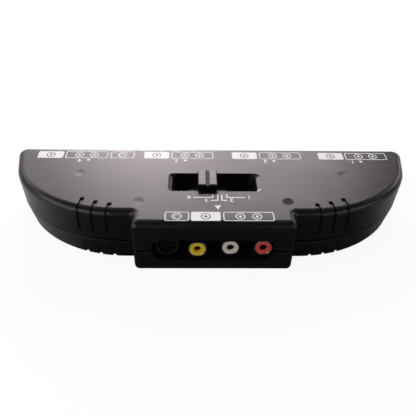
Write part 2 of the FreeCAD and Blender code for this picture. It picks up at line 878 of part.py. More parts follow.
def add_block(body, half, span=0):
    """A moulded block that stands on the board and tapers towards its back."""
    sketch = new_sketch(body, "XZ_Plane", axis_drop)
    taper, back = s.jack_block_taper, -s.jack_block_depth
    right = span + half
    add_polygon(sketch, [(-half, 0), (right, 0), (right - taper, back), (taper - half, back)])
    pad(body, sketch, axis_drop + s.jack_block_rise, reverse=True)


def make_jack_block(name, half, count=1):
    """The block behind the recess, bored for its inserts and contacts."""
    body = new_body(name)
    add_block(body, half, s.input_pitch * (count - 1))
    sketch = new_sketch(body, "XY_Plane")
    for index in range(count):
        add_circle(sketch, s.input_pitch * index, 0, insert_radius + s.fit_clearance)
    pocket(body, sketch, s.insert_root)
    sketch = new_sketch(body, "XY_Plane", -s.insert_root)
    half = s.contact_half_width + s.fit_clearance
    rise = s.contact_height / 2 + s.fit_clearance
    for index in range(count):
        x = s.input_pitch * index
        add_rectangle(sketch, x - half, x + half, -rise, rise)
    pocket(body, sketch, s.jack_block_depth)
    return body


def make_sleeves(name, length, count=1):
    """Nickel sleeves with the flange that shows at the floor of the recess."""
    body = new_body(name)
    profile = [
        (sleeve_bore, 0),
        (s.flange_radius, 0),
        (s.flange_radius, s.flange_thickness),
        (s.sleeve_radius, s.flange_thickness),
        (s.sleeve_radius, length),
        (sleeve_bore, length),
    ]
    turned = revolve(body, profile)
    if count > 1:
        repeat(body, [turned], s.input_pitch, count)
    return body


def make_insert(name, length):
    """A coloured insert: it fills the sleeve and holds the contact for the plug's pin."""
    body = new_body(name)
    face = length - s.insert_inset
    profile = [
        (s.pin_hole_radius, -s.insert_root),
        (insert_radius, -s.insert_root),
        (insert_radius, face),
        (s.pin_hole_radius, face),
    ]
    revolve(body, profile)
    return body


def make_contacts(name, length, count=1):
    """Forked springs for the plug's pin, each with a tail that stands on the board."""
    body = new_body(name)
    tip = length - s.insert_inset - s.pin_hole_depth
    back, root = contact_back, contact_back + s.contact_tail
    outer, inner = s.contact_half_width, s.contact_half_width - s.contact_leaf
    fork = [(-outer, back), (outer, back), (outer, tip), (inner, tip)]
    fork += [(inner, root), (-inner, root), (-inner, tip), (-outer, tip)]
    sketch = new_sketch(body, "XZ_Plane", s.contact_height / 2)
    add_polygon(sketch, fork)
    features = [pad(body, sketch, s.contact_height, reverse=True)]
    sketch = new_sketch(body, "XY_Plane", back)
    half = s.contact_tail / 2
    add_rectangle(sketch, -half, half, -axis_drop, s.contact_height / 2)
    features.append(pad(body, sketch, s.contact_tail))
    if count > 1:
        repeat(body, features, s.input_pitch, count)
    return body


def make_input(name, video_x):
    """A row of three sockets for one source: picture, left sound and right sound."""
    last_x = video_x + s.input_pitch * 2
    block = make_jack_block(f"{name}_jack_block", s.jack_block_half_width, 3)
    face_out(block, last_x, input_floor_y, "rear")
    face_out(make_sleeves(f"{name}_sleeves", s.sleeve_length, 3), last_x, input_floor_y, "rear")
    face_out(make_contacts(f"{name}_contacts", s.sleeve_length, 3), last_x, input_floor_y, "rear")
    for index, channel in enumerate(("video", "left", "right")):
        insert = make_insert(f"{name}_{channel}_insert", s.sleeve_length)
        face_out(insert, video_x + s.input_pitch * index, input_floor_y, "rear")


def make_output(channel, x, length):
    """One single socket of the output row."""
    half = s.output_pitch / 2 - s.slide_clearance / 2
    block = make_jack_block(f"output_{channel}_jack_block", half)
    face_out(block, x, output_floor_y, "front")
    face_out(make_sleeves(f"output_{channel}_sleeve", length), x, output_floor_y, "front")
    face_out(make_contacts(f"output_{channel}_contact", length), x, output_floor_y, "front")
    face_out(make_insert(f"output_{channel}_insert", length), x, output_floor_y, "front")


for name, video_x in INPUTS.items():
    make_input(name, video_x)
make_output("video", s.output_video_x, s.sleeve_length + s.output_video_stand_out)
make_output("left", s.output_video_x + s.output_pitch, s.sleeve_length)
make_output("right", s.output_video_x + s.output_pitch * 2, s.sleeve_length)

# Four-pin round sockets: a block with a round nose, a shield ring and four contacts


def round_pin_places():
    """An upper pair of pins and a closer lower pair."""
    circle = s.round_pin_circle
    for angle, up in ((s.round_upper_pin_angle, 1), (s.round_lower_pin_angle, -1)):
        for side in (1, -1):
            yield circle * cosine(angle) * side, circle * sine(angle) * up


def make_round_body(name):
    """The block with its round nose, the core with its pin holes and the key slot below."""
    body = new_body(name)
    add_block(body, s.round_nose_radius)
    sketch = new_sketch(body, "XY_Plane")
    add_circle(sketch, 0, 0, s.round_nose_radius)
    add_circle(sketch, 0, 0, s.round_shield_radius + s.fit_clearance)
    pad(body, sketch, s.round_face_length)
    sketch = new_sketch(body, "XY_Plane")
    add_circle(sketch, 0, 0, s.round_core_radius)
    core_length = s.round_face_length - s.round_core_inset
    pad(body, sketch, core_length)
    sketch = new_sketch(body, "XY_Plane", core_length)
    for x, y in round_pin_places():
        add_circle(sketch, x, y, s.round_hole_radius)
    pocket(body, sketch, core_length + s.jack_block_depth)
    sketch = new_sketch(body, "XY_Plane", core_length)
    half = s.round_key_width / 2
    low = -s.round_core_radius
    add_rectangle(sketch, -half, half, low, low + s.round_key_height)
    pocket(body, sketch, core_length)
    return body


def make_round_shield(name):
    """The metal ring between the nose and the core."""
    body = new_body(name)
    inner = s.round_shield_radius - s.round_shield_wall
    outer = s.round_shield_radius
    top = s.round_face_length - s.seat_clearance
    revolve(body, [(inner, 0), (outer, 0), (outer, top), (inner, top)])
    return body


def make_round_contacts(name):
    """Four straight contacts, each with a tail that stands on the board."""
    body = new_body(name)
    body.AllowCompound = True
    half = s.round_contact_width / 2
    length = s.round_face_length - s.round_core_inset - s.pin_hole_depth - contact_back
    sketch = new_sketch(body, "XY_Plane", contact_back)
    for x, y in round_pin_places():
        add_rectangle(sketch, x - half, x + half, y - half, y + half)
    pad(body, sketch, length)
    sketch = new_sketch(body, "XY_Plane", contact_back)
    for x, y in round_pin_places():
        add_rectangle(sketch, x - half, x + half, -axis_drop, y + half)
    pad(body, sketch, s.contact_tail)
    return body


for name, x, floor_y, side in (
    ("input_4_round", input_round_x, input_floor_y, "rear"),
    ("output_round", s.output_svideo_x, output_floor_y, "front"),
):
    face_out(make_round_body(f"{name}_body"), x, floor_y, side)
    face_out(make_round_shield(f"{name}_shield"), x, floor_y, side)
    face_out(make_round_contacts(f"{name}_contacts"), x, floor_y, side)

# Slide switch on the board: base with its contact pads, and a folded steel frame


inner_length = s.switch_length - s.frame_sheet * 2
inner_width = s.switch_width - s.frame_sheet * 2
base_top = board_top + s.base_thickness
switch_base = new_body("switch_base")
sketch = new_sketch(switch_base, "XY_Plane", board_top)
margin = s.seat_clearance * 2
add_centred(sketch, s.well_centre_x, well_y, inner_length - margin, inner_width - margin)
pad(switch_base, sketch, s.base_thickness)

pads = []
for row in (-1, 1):
    for pole in (-1, 0, 1):
        for place in (-2, -1, 0, 1, 2):
            x = s.well_centre_x + s.pole_pitch * pole + s.position_pitch * place
            y = well_y + s.row_offset * row
            name = f"pad_{len(pads) + 1}"
            pads.append(make_box(name, x, y, base_top, s.pad_length, s.clip_width, s.pad_thickness))
group("switch_pads", pads)

switch_frame = new_body("switch_frame")
sketch = new_sketch(switch_frame, "XY_Plane", board_top)
add_centred(sketch, s.well_centre_x, well_y, s.switch_length, s.switch_width)
pad(switch_frame, sketch, s.switch_height)
sketch = new_sketch(switch_frame, "XY_Plane", board_top)
add_centred(sketch, s.well_centre_x, well_y, inner_length, inner_width)
pocket(switch_frame, sketch, s.switch_height - s.frame_sheet, reverse=True)
sketch = new_sketch(switch_frame, "XY_Plane", switch_top)
add_centred(sketch, s.well_centre_x, well_y, slot_half * 2, slot_depth * 2)
pocket(switch_frame, sketch, s.frame_sheet)
slider_base = base_top + s.slider_lift
slider_top = switch_top - s.frame_sheet - s.slide_clearance
detent_height = (slider_base + slider_top) / 2
frame_front_y = well_y - s.switch_width / 2
sketch = new_sketch(switch_frame, "XZ_Plane", -frame_front_y)
for place in range(4):
    add_circle(sketch, knob_x + s.position_pitch * place, detent_height, s.detent_hole_radius)
pocket(switch_frame, sketch, s.frame_sheet)

# Slider: a moulded block with the drive stem, carrying the bridging clips and the detent

slider_width = inner_width - s.slide_clearance * 2
switch_slider = new_body("switch_slider")
sketch = new_sketch(switch_slider, "XY_Plane", slider_base)
add_centred(sketch, knob_x, well_y, s.slider_length, slider_width)
pad(switch_slider, sketch, slider_top - slider_base)
sketch = new_sketch(switch_slider, "XY_Plane", slider_top)
add_centred(sketch, knob_x, well_y, s.stem_width, s.stem_depth)
pad(switch_slider, sketch, stem_top - slider_top)
clip_base = base_top + s.pad_thickness + s.seat_clearance
clip_seat = s.clip_height - (slider_base - clip_base) + s.fit_clearance
clips = []
sketch = new_sketch(switch_slider, "XY_Plane", slider_base)
for row in (-1, 1):
    for pole in (-1, 0, 1):
        x = knob_x + s.pole_pitch * pole
        y = well_y + s.row_offset * row
        fit = s.fit_clearance * 2
        add_centred(sketch, x, y, s.clip_length + fit, s.clip_width + fit)
        name = f"clip_{len(clips) + 1}"
        clips.append(make_box(name, x, y, clip_base, s.clip_length, s.clip_width, s.clip_height))
pocket(switch_slider, sketch, clip_seat, reverse=True)
group("switch_clips", clips)
slider_front_y = well_y - slider_width / 2
sketch = new_sketch(switch_slider, "XZ_Plane", -slider_front_y)
add_circle(sketch, knob_x, detent_height, s.detent_plunger_radius + s.fit_clearance)
pocket(switch_slider, sketch, s.detent_pocket_depth)

nose_y = frame_front_y + s.frame_sheet + s.fit_clearance
plunger_length = s.detent_plunger_length + s.detent_nose_length
turn = FreeCAD.Rotation(FreeCAD.Vector(1, 0, 0), 90)
detent_plunger = new_body("detent_plunger")
profile = [
    (0, 0),
    (s.detent_plunger_radius, 0),
    (s.detent_plunger_radius, s.detent_plunger_length),
    (s.detent_nose_radius, plunger_length),
    (0, plunger_length),
]
revolve(detent_plunger, profile)
move(detent_plunger, knob_x, nose_y + plunger_length, detent_height, turn)
pocket_end_y = slider_front_y + s.detent_pocket_depth
spring_length = pocket_end_y - nose_y - plunger_length
detent_spring = new_body("detent_spring")
spring_bore = s.detent_spring_radius / 2
profile = [
    (spring_bore, 0),
    (s.detent_spring_radius, 0),
    (s.detent_spring_radius, spring_length),
    (spring_bore, spring_length),
]
revolve(detent_spring, profile)
move(detent_spring, knob_x, pocket_end_y, detent_height, turn)

# Selector knob: a grooved finger block with a skirt that covers the slot

selector_knob = new_body("selector_knob")
skirt_base = well_floor + s.slide_clearance
knob_top = s.shell_height + s.knob_rise
sketch = new_sketch(selector_knob, "XY_Plane", skirt_base)
add_centred(sketch, knob_x, well_y, s.skirt_length, s.skirt_width)
pad(selector_knob, sketch, s.skirt_thickness)
sketch = new_sketch(selector_knob, "XY_Plane", skirt_base)
add_centred(sketch, knob_x, well_y, s.knob_width, s.knob_depth)
pad(selector_knob, sketch, knob_top - skirt_base)
fillet(selector_knob, s.knob_edge_radius, lambda middle, edge: middle.z > knob_top.value - SAME)
sketch = new_sketch(selector_knob, "XZ_Plane", -(well_y - s.knob_depth / 2))
half = s.knob_groove_width / 2
groove = [
    (knob_x - half, knob_top),
    (knob_x, knob_top - s.knob_groove_depth),
    (knob_x + half, knob_top),
]
add_polygon(sketch, groove)
pocket(selector_knob, sketch, s.knob_depth)
sketch = new_sketch(selector_knob, "XY_Plane", skirt_base)
fit = s.fit_clearance * 2
add_centred(sketch, knob_x, well_y, s.stem_width + fit, s.stem_depth + fit)
pocket(selector_knob, sketch, stem_top - skirt_base + s.seat_clearance, reverse=True)

# Check every object and each piece, then write the files

doc.recompute()
for item in doc.Objects:
    if "Invalid" in item.State or "Error" in item.State:
        raise RuntimeError(f"{item.Name} failed")
os.makedirs("parts", exist_ok=True)
for piece in PIECES:
    if piece.Shape.isNull() or not piece.Shape.isValid():
        raise RuntimeError(f"{piece.Label} has no valid shape")
    piece.Shape.exportStep(f"parts/{piece.Label}.step")
    print(f"{piece.Label}: {len(piece.Shape.Solids)} solids, {piece.Shape.Volume:.1f} mm3")
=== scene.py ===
import math

import bmesh
import bpy
from mathutils import Matrix, Vector


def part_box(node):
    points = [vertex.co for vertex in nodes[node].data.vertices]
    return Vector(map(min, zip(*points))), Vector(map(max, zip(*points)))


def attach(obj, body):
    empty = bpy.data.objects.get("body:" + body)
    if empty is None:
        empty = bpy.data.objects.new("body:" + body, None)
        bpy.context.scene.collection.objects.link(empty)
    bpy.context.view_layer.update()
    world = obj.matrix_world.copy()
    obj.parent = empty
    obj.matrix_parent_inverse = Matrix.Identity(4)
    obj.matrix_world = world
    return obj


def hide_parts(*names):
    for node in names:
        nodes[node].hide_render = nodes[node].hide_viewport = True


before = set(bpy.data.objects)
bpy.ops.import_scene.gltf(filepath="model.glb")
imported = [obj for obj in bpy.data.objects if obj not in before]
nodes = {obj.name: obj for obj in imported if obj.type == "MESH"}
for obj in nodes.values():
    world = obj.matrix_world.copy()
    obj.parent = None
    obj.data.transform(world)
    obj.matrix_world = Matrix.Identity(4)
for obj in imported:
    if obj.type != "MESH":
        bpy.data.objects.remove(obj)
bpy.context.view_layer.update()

# Upper and lower shell
# Two injection-moulded black ABS halves that meet in a narrow seam. The mould's fine
# spark-eroded grain leaves them satin, and the roof has sunk a little over each screw boss.

MM = 0.001
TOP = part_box("top_shell")[1][2] / MM
SEAM_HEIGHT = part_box("bottom_shell")[1][2] / MM
SEAM_HALF_WIDTH = 0.6
SEAM_DEPTH = 0.3
SEAM_LIP_DROP = 0.85
SEAM_LIP_HALF_WIDTH = 0.3
SINK_DEPTH = 0.12
SINK_RADIUS = 3.4
DULL_RADIUS = 3.0
DULL_FADE = 0.8
DULL_ROUGHNESS = 0.8
EDGE_BREAK = 0.12
FLOW_MARK = 12
PLASTIC_IOR = 1.5

# The place of each boss in plan, and how dull the roof is above it
BOSS_MARKS = ((35.2, -15.5, 0.9), (-35.2, -15.5, 0.25), (66.5, 7.9, 0.12), (-66.5, 7.9, 0.05))

# The numbers of a mix node's two colour inputs, which share their names with its other inputs
COLOUR_A, COLOUR_B = 6, 7


def point(x, y, z):
    """A place given in millimetres."""
    return Vector((x * MM, y * MM, z * MM))


def linear(code):
    """An sRGB hex colour as the linear values that shaders take."""
    values = [int(code[start:start + 2], 16) / 255 for start in (1, 3, 5)]
    return [v / 12.92 if v <= 0.04045 else ((v + 0.055) / 1.055) ** 2.4 for v in values] + [1.0]


def add(tree, kind, inputs, **settings):
    """Adds a node. Each input takes a plain value, an output, or a node for its first
    output in use."""
    node = tree.nodes.new(kind)
    for name, value in settings.items():
        setattr(node, name, value)
    for key, value in inputs.items():
        if isinstance(value, bpy.types.Node):
            value = next(output for output in value.outputs if output.enabled)
        if isinstance(value, bpy.types.NodeSocket):
            tree.links.new(value, node.inputs[key])
        else:
            node.inputs[key].default_value = value
    return node


def new_material(name):
    material = bpy.data.materials.new(name)
    material.use_nodes = True
    material.node_tree.nodes.clear()
    return material, material.node_tree


def finish_material(tree, inputs, height, edge_mm):
    """Joins all of a finish in one surface shader, with its sharp edges broken a little."""
    edge = add(tree, "ShaderNodeBevel", {"Radius": edge_mm * MM}, samples=4)
    bump = add(tree, "ShaderNodeBump", {"Height": height, "Distance": 1.0, "Normal": edge})
    shader = add(tree, "ShaderNodeBsdfPrincipled", inputs | {"Normal": bump})
    add(tree, "ShaderNodeOutputMaterial", {"Surface": shader})


def moulded_plastic(name, pale, deep, gloss, grain_mm, grain_depth_mm, specular=0.5, extra=None):
    """Moulded plastic: flow marks shift colour and gloss a little over a fine mould grain."""
    material, tree = new_material(name)
    place = add(tree, "ShaderNodeTexCoord", {}).outputs["Object"]
    flow = add(tree, "ShaderNodeTexNoise",
               {"Vector": place, "Scale": 1 / (FLOW_MARK * MM), "Detail": 6.0})
    grain = add(tree, "ShaderNodeTexNoise",
                {"Vector": place, "Scale": 1 / (grain_mm * MM), "Detail": 2.0})
    colour = add(tree, "ShaderNodeMix",
                 {"Factor": flow, COLOUR_A: linear(deep), COLOUR_B: linear(pale)},
                 data_type="RGBA")
    roughness = add(tree, "ShaderNodeMapRange",
                    {"Value": flow, "To Min": gloss[0], "To Max": gloss[1]})
    height = add(tree, "ShaderNodeMath", {0: grain, 1: grain_depth_mm * MM}, operation="MULTIPLY")
    inputs = {"Base Color": colour, "Roughness": roughness, "IOR": PLASTIC_IOR,
              "Specular IOR Level": specular}
    if extra:
        height = extra(tree, place, inputs, height)
    finish_material(tree, inputs, height, EDGE_BREAK)
    return material


def dress(material, *names):
    """Gives solids from the frame their finish."""
    for name in names:
        mesh = nodes[name].data
        mesh.materials.clear()
        mesh.materials.append(material)


def seam_and_sinks(tree, place, inputs, height):
    """The gap between the shells, a groove in the bump painted black as shade, with a painted
    highlight along its lower lip, and the dips in the roof.
    """
    parts = add(tree, "ShaderNodeSeparateXYZ", {0: place})
    above = add(tree, "ShaderNodeMath", {0: parts.outputs["Z"], 1: SEAM_HEIGHT * MM},
                operation="SUBTRACT")
    off_seam = add(tree, "ShaderNodeMath", {0: above}, operation="ABSOLUTE")
    gap_groove_and_shade = add(tree, "ShaderNodeMapRange", {"Value": off_seam, "From Min": SEAM_HALF_WIDTH * MM,
                                           "From Max": SEAM_HALF_WIDTH / 2 * MM})
    off_lip = add(tree, "ShaderNodeMath", {0: above, 1: SEAM_LIP_DROP * MM}, operation="ADD")
    off_lip = add(tree, "ShaderNodeMath", {0: off_lip}, operation="ABSOLUTE")
    painted_lip_highlight = add(tree, "ShaderNodeMapRange", {"Value": off_lip, "From Min": SEAM_LIP_HALF_WIDTH * MM,
                                           "From Max": SEAM_LIP_HALF_WIDTH / 3 * MM})
    # Painted highlight: a paler band along the seam's lower lip
    colour = add(tree, "ShaderNodeMix", {"Factor": painted_lip_highlight, COLOUR_A: inputs["Base Color"],
                                         COLOUR_B: linear("#1a1a19")}, data_type="RGBA")
    # Painted shade: the gap's colour goes to black
    inputs["Base Color"] = add(tree, "ShaderNodeMix", {"Factor": gap_groove_and_shade, COLOUR_A: colour,
                                                       COLOUR_B: linear("#000000")},
                               data_type="RGBA")
    # Painted shade: a black metal gives back no light at all, so the gap takes no shine
    inputs["Metallic"] = gap_groove_and_shade
    groove = add(tree, "ShaderNodeMath", {0: gap_groove_and_shade, 1: -SEAM_DEPTH * MM}, operation="MULTIPLY")
    height = add(tree, "ShaderNodeMath", {0: height, 1: groove}, operation="ADD")
    for x, y, dullness in BOSS_MARKS:
        spread = add(tree, "ShaderNodeVectorMath", {0: place, 1: point(x, y, TOP)},
                     operation="DISTANCE")
        dip = add(tree, "ShaderNodeMapRange", {"Value": spread, "From Min": SINK_RADIUS * MM,
                                               "From Max": 0.0, "To Max": -SINK_DEPTH * MM},
                  interpolation_type="SMOOTHSTEP")
        height = add(tree, "ShaderNodeMath", {0: height, 1: dip}, operation="ADD")
        dull = add(tree, "ShaderNodeMapRange", {"Value": spread, "From Min": DULL_RADIUS * MM,
                                                "From Max": (DULL_RADIUS - DULL_FADE) * MM,
                                                "To Max": dullness})
        inputs["Roughness"] = add(tree, "ShaderNodeMix", {"Factor": dull, "B": DULL_ROUGHNESS,
                                                          "A": inputs["Roughness"]})
    return height


# Satin ABS: almost black, with a broad soft sheen where it mirrors a window. The grain of
# about 0.1 mm is drawn at 0.7 mm, since it would not show otherwise.
black_abs = moulded_plastic("satin_black_abs", "#080708", "#050505", gloss=(0.32, 0.4),
                            grain_mm=0.7, grain_depth_mm=0.03, specular=0.33,
                            extra=seam_and_sinks)
dress(black_abs, "top_shell", "bottom_shell")

# Case screws
# Zinc-plated steel self-tapping screws with a cross recess, turned and thread-rolled, and
# driven from below through the lower shell into the upper shell's bosses.

SCREW_SEAT = 2.2
HEAD_RADIUS = 2.6
HEAD_HEIGHT = 1.6
HEAD_EDGE = 0.25
CROSS_REACH = 1.45
CROSS_HALF = 0.36
CROSS_FLOOR = 1.75
CORE_INSET = 0.5
CORE_SINK = 0.1
SHANK_RADIUS = 1.05
SHANK_END = 11.2
POINT_LENGTH = 1.2
THREAD_START = 0.7
THREAD_SHORT = 1.5
THREAD_PITCH = 0.9
THREAD_WIRE = 0.36
TURN_STEPS = 24
WELD_REACH = 0.001
TARNISH_PATCH = 5
DRAWN_SHARE = 0.15


def plated_metal(name, pale, deep, gloss, streak_mm, streak_depth_mm, edge_mm=EDGE_BREAK):
    """Plated metal: slight tarnish in patches over the fine drawn lines of the base metal."""
    material, tree = new_material(name)
    place = add(tree, "ShaderNodeTexCoord", {}).outputs["Object"]
    tarnish = add(tree, "ShaderNodeTexNoise",
                  {"Vector": place, "Scale": 1 / (TARNISH_PATCH * MM), "Detail": 3.0})
    drawn = add(tree, "ShaderNodeMapping", {"Vector": place, "Scale": (1.0, DRAWN_SHARE, 1.0)})
    streaks = add(tree, "ShaderNodeTexNoise",
                  {"Vector": drawn, "Scale": 1 / (streak_mm * MM), "Detail": 2.0})
    colour = add(tree, "ShaderNodeMix",
                 {"Factor": tarnish, COLOUR_A: linear(deep), COLOUR_B: linear(pale)},
                 data_type="RGBA")
    roughness = add(tree, "ShaderNodeMapRange",
                    {"Value": tarnish, "To Min": gloss[0], "To Max": gloss[1]})
    height = add(tree, "ShaderNodeMath", {0: streaks, 1: streak_depth_mm * MM},
                 operation="MULTIPLY")
    finish_material(tree, {"Base Color": colour, "Roughness": roughness, "Metallic": 1.0},
                    height, edge_mm)
    return material


def show(name, data, material, body, place=(0, 0, 0), turn=0.0):
    """Puts a piece in the scene, on the body that carries it."""
    item = bpy.data.objects.new(name, data)
    item.location = point(*place)
    item.rotation_euler = (0, 0, turn)
    data.materials.append(material)
    bpy.context.scene.collection.objects.link(item)
    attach(item, body)
    return item


def loop(curve, corners):
    """A closed straight-sided outline; one inside another makes a hole."""
    spline = curve.splines.new("POLY")
    spline.points.add(len(corners) - 1)
    for item, (x, y) in zip(spline.points, corners):
        item.co = (x * MM, y * MM, 0, 1)
    spline.use_cyclic_u = True
    spline.use_smooth = False


def flat_curve(name, outlines, half_thickness, edge=0.0):
    """Outlines filled in the plane and thickened to both sides, with rounded edges."""
    curve = bpy.data.curves.new(name, "CURVE")
    curve.dimensions = "2D"
    curve.fill_mode = "BOTH"
    curve.extrude = (half_thickness - edge) * MM
    curve.bevel_depth = edge * MM
    curve.bevel_resolution = 2
    curve.offset = -edge * MM
    for corners in outlines:
        loop(curve, corners)
    return curve


def rounded(left, right, low, high, radius, steps=5):
    """The corners of a rectangle with rounded ends."""
    corners = []
    for x, y, start in ((right - radius, high - radius, 0), (left + radius, high - radius, 90),
                        (left + radius, low + radius, 180), (right - radius, low + radius, 270)):
        for step in range(steps + 1):
            angle = math.radians(start + 90 * step / steps)
            corners.append((x + radius * math.cos(angle), y + radius * math.sin(angle)))
    return corners


def disc(x, y, radius):
    return rounded(x - radius, x + radius, y - radius, y + radius, radius, steps=8)


def cross(x, y, reach, half):
    """The twelve corners of a cross."""
    quarter = ((reach, half), (half, half), (half, reach))
    corners = []
    for _ in range(4):
        corners += [(x + u, y + v) for u, v in quarter]
        quarter = [(-v, u) for u, v in quarter]
    return corners


def turned(name, centres, profile):
    """Bodies of revolution about upright lines, from a profile of radius and height."""
    vertices, faces = [], []
    for index, (x, y) in enumerate(centres):
        for step in range(TURN_STEPS):
            angle = 2 * math.pi * step / TURN_STEPS
            vertices += [point(x + radius * math.cos(angle), y + radius * math.sin(angle), z)
                         for radius, z in profile]
            here = (index * TURN_STEPS + step) * len(profile)
            there = (index * TURN_STEPS + (step + 1) % TURN_STEPS) * len(profile)
            faces += [(here + row, there + row, there + row + 1, here + row + 1)
                      for row in range(len(profile) - 1)]
    mesh = bpy.data.meshes.new(name)
    mesh.from_pydata(vertices, [], faces)
    form = bmesh.new()
    form.from_mesh(mesh)
    bmesh.ops.remove_doubles(form, verts=form.verts, dist=WELD_REACH * MM)
    bmesh.ops.recalc_face_normals(form, faces=form.faces)
    form.to_mesh(mesh)
    form.free()
    return mesh


def helix(x, y, z, radius, pitch, turns):
    """Points along a right-handed helix that climbs along Z."""
    corners = []
    for step in range(round(turns * TURN_STEPS) + 1):
        angle = 2 * math.pi * step / TURN_STEPS
        corners.append((x + radius * math.cos(angle), y + radius * math.sin(angle),
                        z + pitch * step / TURN_STEPS))
    return corners


def wire(name, routes, thickness):
    """Round wire along each route of points."""
    curve = bpy.data.curves.new(name, "CURVE")
    curve.dimensions = "3D"
    curve.bevel_depth = thickness / 2 * MM
    curve.bevel_resolution = 3
    curve.use_fill_caps = True
    for corners in routes:
        spline = curve.splines.new("POLY")
        spline.points.add(len(corners) - 1)
        for item, corner in zip(spline.points, corners):
            item.co = (*point(*corner), 1)
    return curve


# Zinc plate: a cool grey metal with a blurred shine. Its lines, 0.1 mm apart, are drawn
# 0.3 mm apart so that they show.
zinc_plate = plated_metal("zinc_plated_steel", "#b4b4b6", "#9a9a9e", gloss=(0.28, 0.4),
                          streak_mm=0.3, streak_depth_mm=0.003)
bosses = [(x, y) for x, y, _ in BOSS_MARKS]
outlines = []
for x, y in bosses:
    outlines += [disc(x, y, HEAD_RADIUS), cross(x, y, CROSS_REACH, CROSS_HALF)]
heads = show("screw_heads", flat_curve("screw_heads", outlines, HEAD_HEIGHT / 2, HEAD_EDGE),
             zinc_plate, "housing", (0, 0, SCREW_SEAT - HEAD_HEIGHT / 2))

# A core inside the head closes the cross recess and runs on as the shank
core = HEAD_RADIUS - CORE_INSET
core_top = SCREW_SEAT - CORE_SINK
profile = ((0, CROSS_FLOOR), (core, CROSS_FLOOR), (core, core_top), (SHANK_RADIUS, core_top),
           (SHANK_RADIUS, SHANK_END - POINT_LENGTH), (0, SHANK_END))
shanks = show("screw_shanks", turned("screw_shanks", bosses, profile), zinc_plate,
              "housing")
thread_base = SCREW_SEAT + THREAD_START
turns = (SHANK_END - THREAD_SHORT - thread_base) / THREAD_PITCH
routes = [helix(x, y, thread_base, SHANK_RADIUS, THREAD_PITCH, turns) for x, y in bosses]
threads = show("screw_threads", wire("screw_threads", routes, THREAD_WIRE), zinc_plate,
               "housing")
for item in (heads, shanks, threads):
    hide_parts("housing_screws")

# Circuit board
# Brown laminate of paper and phenolic resin, pressed in a hot press and sawn to shape. It is
# clamped between the bosses of the two shells.

# Pressed laminate: warm brown and half dull, with a faint mottle of fibres 0.5 mm wide.
laminate = moulded_plastic("phenolic_laminate", "#9a7442", "#7d5a30", gloss=(0.42, 0.52),
                           grain_mm=0.5, grain_depth_mm=0.01)
dress(laminate, "main_board")

# Coaxial sockets
# Nickel-plated brass sleeves are pressed into black moulded blocks around coloured
# nylon inserts, yellow for the picture and white and red for left and right sound.

BORE_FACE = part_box("input_1_video_insert")[1][1] / MM
FACE_DEPTH = 0.4
BORE_FADE = 0.6
SLEEVE_LIP = 0.3


def painted_bore_shade(tree, place, inputs, height):
    """No light reaches far into a pin hole: past the face the bore's colour is darkened to near
    black as painted shade.
    """
    parts = add(tree, "ShaderNodeSeparateXYZ", {0: place})
    reach = add(tree, "ShaderNodeMath", {0: parts.outputs["Y"]}, operation="ABSOLUTE")
    mouth = BORE_FACE - FACE_DEPTH
    painted_shade = add(tree, "ShaderNodeMapRange", {"Value": reach, "From Min": mouth * MM,
                                              "From Max": (mouth - BORE_FADE) * MM})
    # Painted shade: past the face the bore's colour goes to near black
    inputs["Base Color"] = add(tree, "ShaderNodeMix",
                               {"Factor": painted_shade, COLOUR_A: inputs["Base Color"],
                                COLOUR_B: linear("#0c0a08")}, data_type="RGBA")
    return height


def named(*endings):
    """The solids whose names have one of these endings."""
    return [name for name in nodes if name.endswith(endings)]


# PBT, glass-filled: deep black and dull, so that the socket recesses stay dark.
black_pbt = moulded_plastic("black_pbt", "#050505", "#030303", gloss=(0.42, 0.5),
                            grain_mm=0.2, grain_depth_mm=0.006, specular=0.18)

# Nylon from a polished mould: clear strong colours under a smooth, waxy shine, with a ripple
# of 0.5 mm that only just breaks it.
# Past its face each insert's bore is darkened as painted shade
NYLON = {"gloss": (0.26, 0.34), "grain_mm": 0.5, "grain_depth_mm": 0.003, "extra": painted_bore_shade}
yellow_nylon = moulded_plastic("yellow_nylon", "#dcc034", "#cfb226", **NYLON)
white_nylon = moulded_plastic("white_nylon", "#d8d0c4", "#cbc2b5", **NYLON)
red_nylon = moulded_plastic("red_nylon", "#d6534b", "#c9443c", **NYLON)

# Bright nickel over turned brass: warm silver whose rounded lip catches small sharp glints.
# Its turning lines of under 0.1 mm are drawn at 0.25 mm.
nickel_plate = plated_metal("nickel_plated_brass", "#c9c4bc", "#b3ada4", gloss=(0.18, 0.26),
                            streak_mm=0.25, streak_depth_mm=0.002, edge_mm=SLEEVE_LIP)

# Rolled phosphor bronze: half dull, with rolling lines drawn at 0.3 mm. Its brown is darker than
# clean bronze, as painted shade for the contacts deep in the pin holes.
spring_bronze = plated_metal("spring_bronze", "#6e5b38", "#58482c", gloss=(0.34, 0.44),
                             streak_mm=0.3, streak_depth_mm=0.002)
dress(black_pbt, *named("_jack_block"))
dress(yellow_nylon, *named("_video_insert"))
dress(white_nylon, *named("_left_insert"))
dress(red_nylon, *named("_right_insert"))
dress(nickel_plate, *named("_sleeves", "_sleeve"))
dress(spring_bronze, *named("_contacts", "_contact"))

# Round sockets
# A black moulded body carries four pins inside a thin steel shield, drawn, nickel-plated and
# left dull.

# Dull nickel: blurred in shine, and darker grey than the plate itself as painted shade for the
# shield deep in the recess, so that only the rim shows.
dull_nickel = plated_metal("dull_nickel_plate", "#6b6762", "#55514c", gloss=(0.38, 0.48),
                           streak_mm=0.25, streak_depth_mm=0.002)
dress(black_pbt, *named("_round_body"))
dress(dull_nickel, *named("_round_shield"))

# Slide switch
# A tinned steel frame is folded over a black moulded base and slider. Bronze clips slide
# on bronze pads, and a coil spring pushes a plunger into the frame's four detent holes.

SPRING_WIRE = 0.3
SPRING_TURNS = 7

# Tinned sheet: pale grey with a soft shine, and rolling lines drawn at 0.4 mm.
tinned_steel = plated_metal("tinned_steel", "#b8b8b6", "#9fa09f", gloss=(0.3, 0.42),
                            streak_mm=0.4, streak_depth_mm=0.003)

